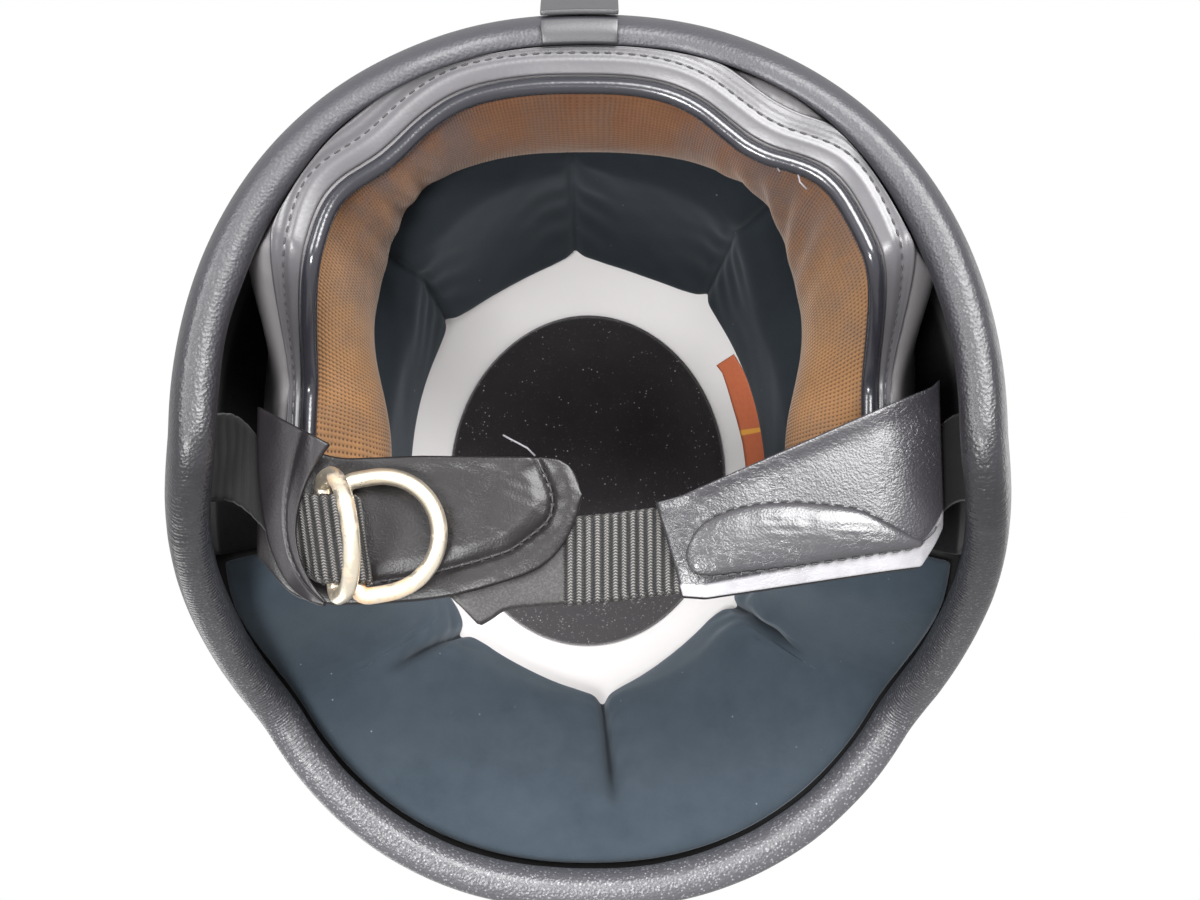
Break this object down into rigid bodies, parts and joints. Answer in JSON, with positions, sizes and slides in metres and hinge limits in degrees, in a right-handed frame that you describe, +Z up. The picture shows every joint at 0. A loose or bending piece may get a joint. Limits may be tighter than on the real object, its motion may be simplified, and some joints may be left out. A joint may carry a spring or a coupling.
{
  "type": "open-face motorcycle helmet",
  "caption": "Open-face helmet with a drawn-in padded rim, foam and suede lining, neck roll, chin straps with a pair of D-rings and a rear goggle strap.",
  "frame": {"origin": "middle of the bounding box, on the plane that the rim stands on", "axes": "+Z up to the crown, -Y the way the wearer faces, +X the wearer's left"},
  "size_m": [0.259, 0.2844, 0.235],
  "materials": {
    "ivory_paint": "gloss",
    "trim_vinyl": "grained semi-gloss",
    "moulded_foam": "smooth matte",
    "pad_velvet": "brushed",
    "lining_suede": "suede",
    "roll_vinyl": "smooth semi-gloss",
    "brown_mesh": "ribbed mesh",
    "side_cloth": "matte",
    "plated_steel": "satin plated",
    "worn_nickel": "worn plating",
    "webbing": "ribbed weave",
    "strap_leather": "semi-gloss"
  },
  "bodies": {
    "helmet": {"outer_shell": "ivory_paint", "edge_trim": "trim_vinyl", "eps_liner": "moulded_foam", "crown_pad": "pad_velvet", "comfort_lining_front": "lining_suede", "comfort_lining_rear": "lining_suede", "neck_roll": "roll_vinyl", "neck_roll_mesh": "brown_mesh", "neck_roll_band": "roll_vinyl", "neck_roll_piping": "roll_vinyl", "ear_lining_left": "side_cloth", "ear_lining_right": "side_cloth", "strap_hanger_left": "plated_steel", "strap_hanger_right": "plated_steel", "strap_rivet_left": "plated_steel", "strap_rivet_right": "plated_steel", "strap_washer_left": "plated_steel", "strap_washer_right": "plated_steel", "goggle_strap_root": "strap_leather", "goggle_strap_rivet": "plated_steel", "goggle_snap_stud": "plated_steel", "brow_snap_left": "plated_steel", "brow_snap_centre": "plated_steel", "brow_snap_right": "plated_steel"},
    "left_strap": {"strap_webbing_left": "webbing", "strap_tab_left": "strap_leather", "chin_flap_left": "strap_leather"},
    "inner_ring": {"d_ring_inner": "worn_nickel"},
    "outer_ring": {"d_ring_outer": "worn_nickel"},
    "right_strap": {"strap_webbing_right": "webbing", "strap_sleeve_right": "strap_leather", "strap_backing_right": "strap_leather", "strap_pad_right": "strap_leather"},
    "goggle_flap": {"goggle_strap_flap": "strap_leather", "goggle_snap_cap": "plated_steel", "goggle_snap_socket": "plated_steel"}
  },
  "joints": [
    {"name": "left_strap_swing", "type": "hinge", "parent": "helmet", "child": "left_strap", "pos_m": [0.11483, -0.0065, 0.0379], "axis": [0, -1, 0], "range_deg": [0, 44]},
    {"name": "right_strap_swing", "type": "hinge", "parent": "helmet", "child": "right_strap", "pos_m": [-0.11483, -0.0065, 0.0379], "axis": [0, 1, 0], "range_deg": [0, 22]},
    {"name": "inner_ring_swing", "type": "hinge", "parent": "left_strap", "child": "inner_ring", "pos_m": [0.07583, -0.032, 0.0325], "axis": [-0.1564, -0.9877, 0], "range_deg": [-15, 14]},
    {"name": "outer_ring_swing", "type": "hinge", "parent": "left_strap", "child": "outer_ring", "pos_m": [0.06953, -0.032, 0.0325], "axis": [-0.1564, -0.9877, 0], "range_deg": [-4, 39]},
    {"name": "goggle_strap_open", "type": "hinge", "parent": "helmet", "child": "goggle_flap", "pos_m": [0.00265, 0.12073, 0.00681], "axis": [-1, 0, 0], "range_deg": [0, 90]}
  ],
  "couplings": [
    {"joint": "right_strap_swing", "follows": "left_strap_swing", "ratio": 0.5}
  ]
}
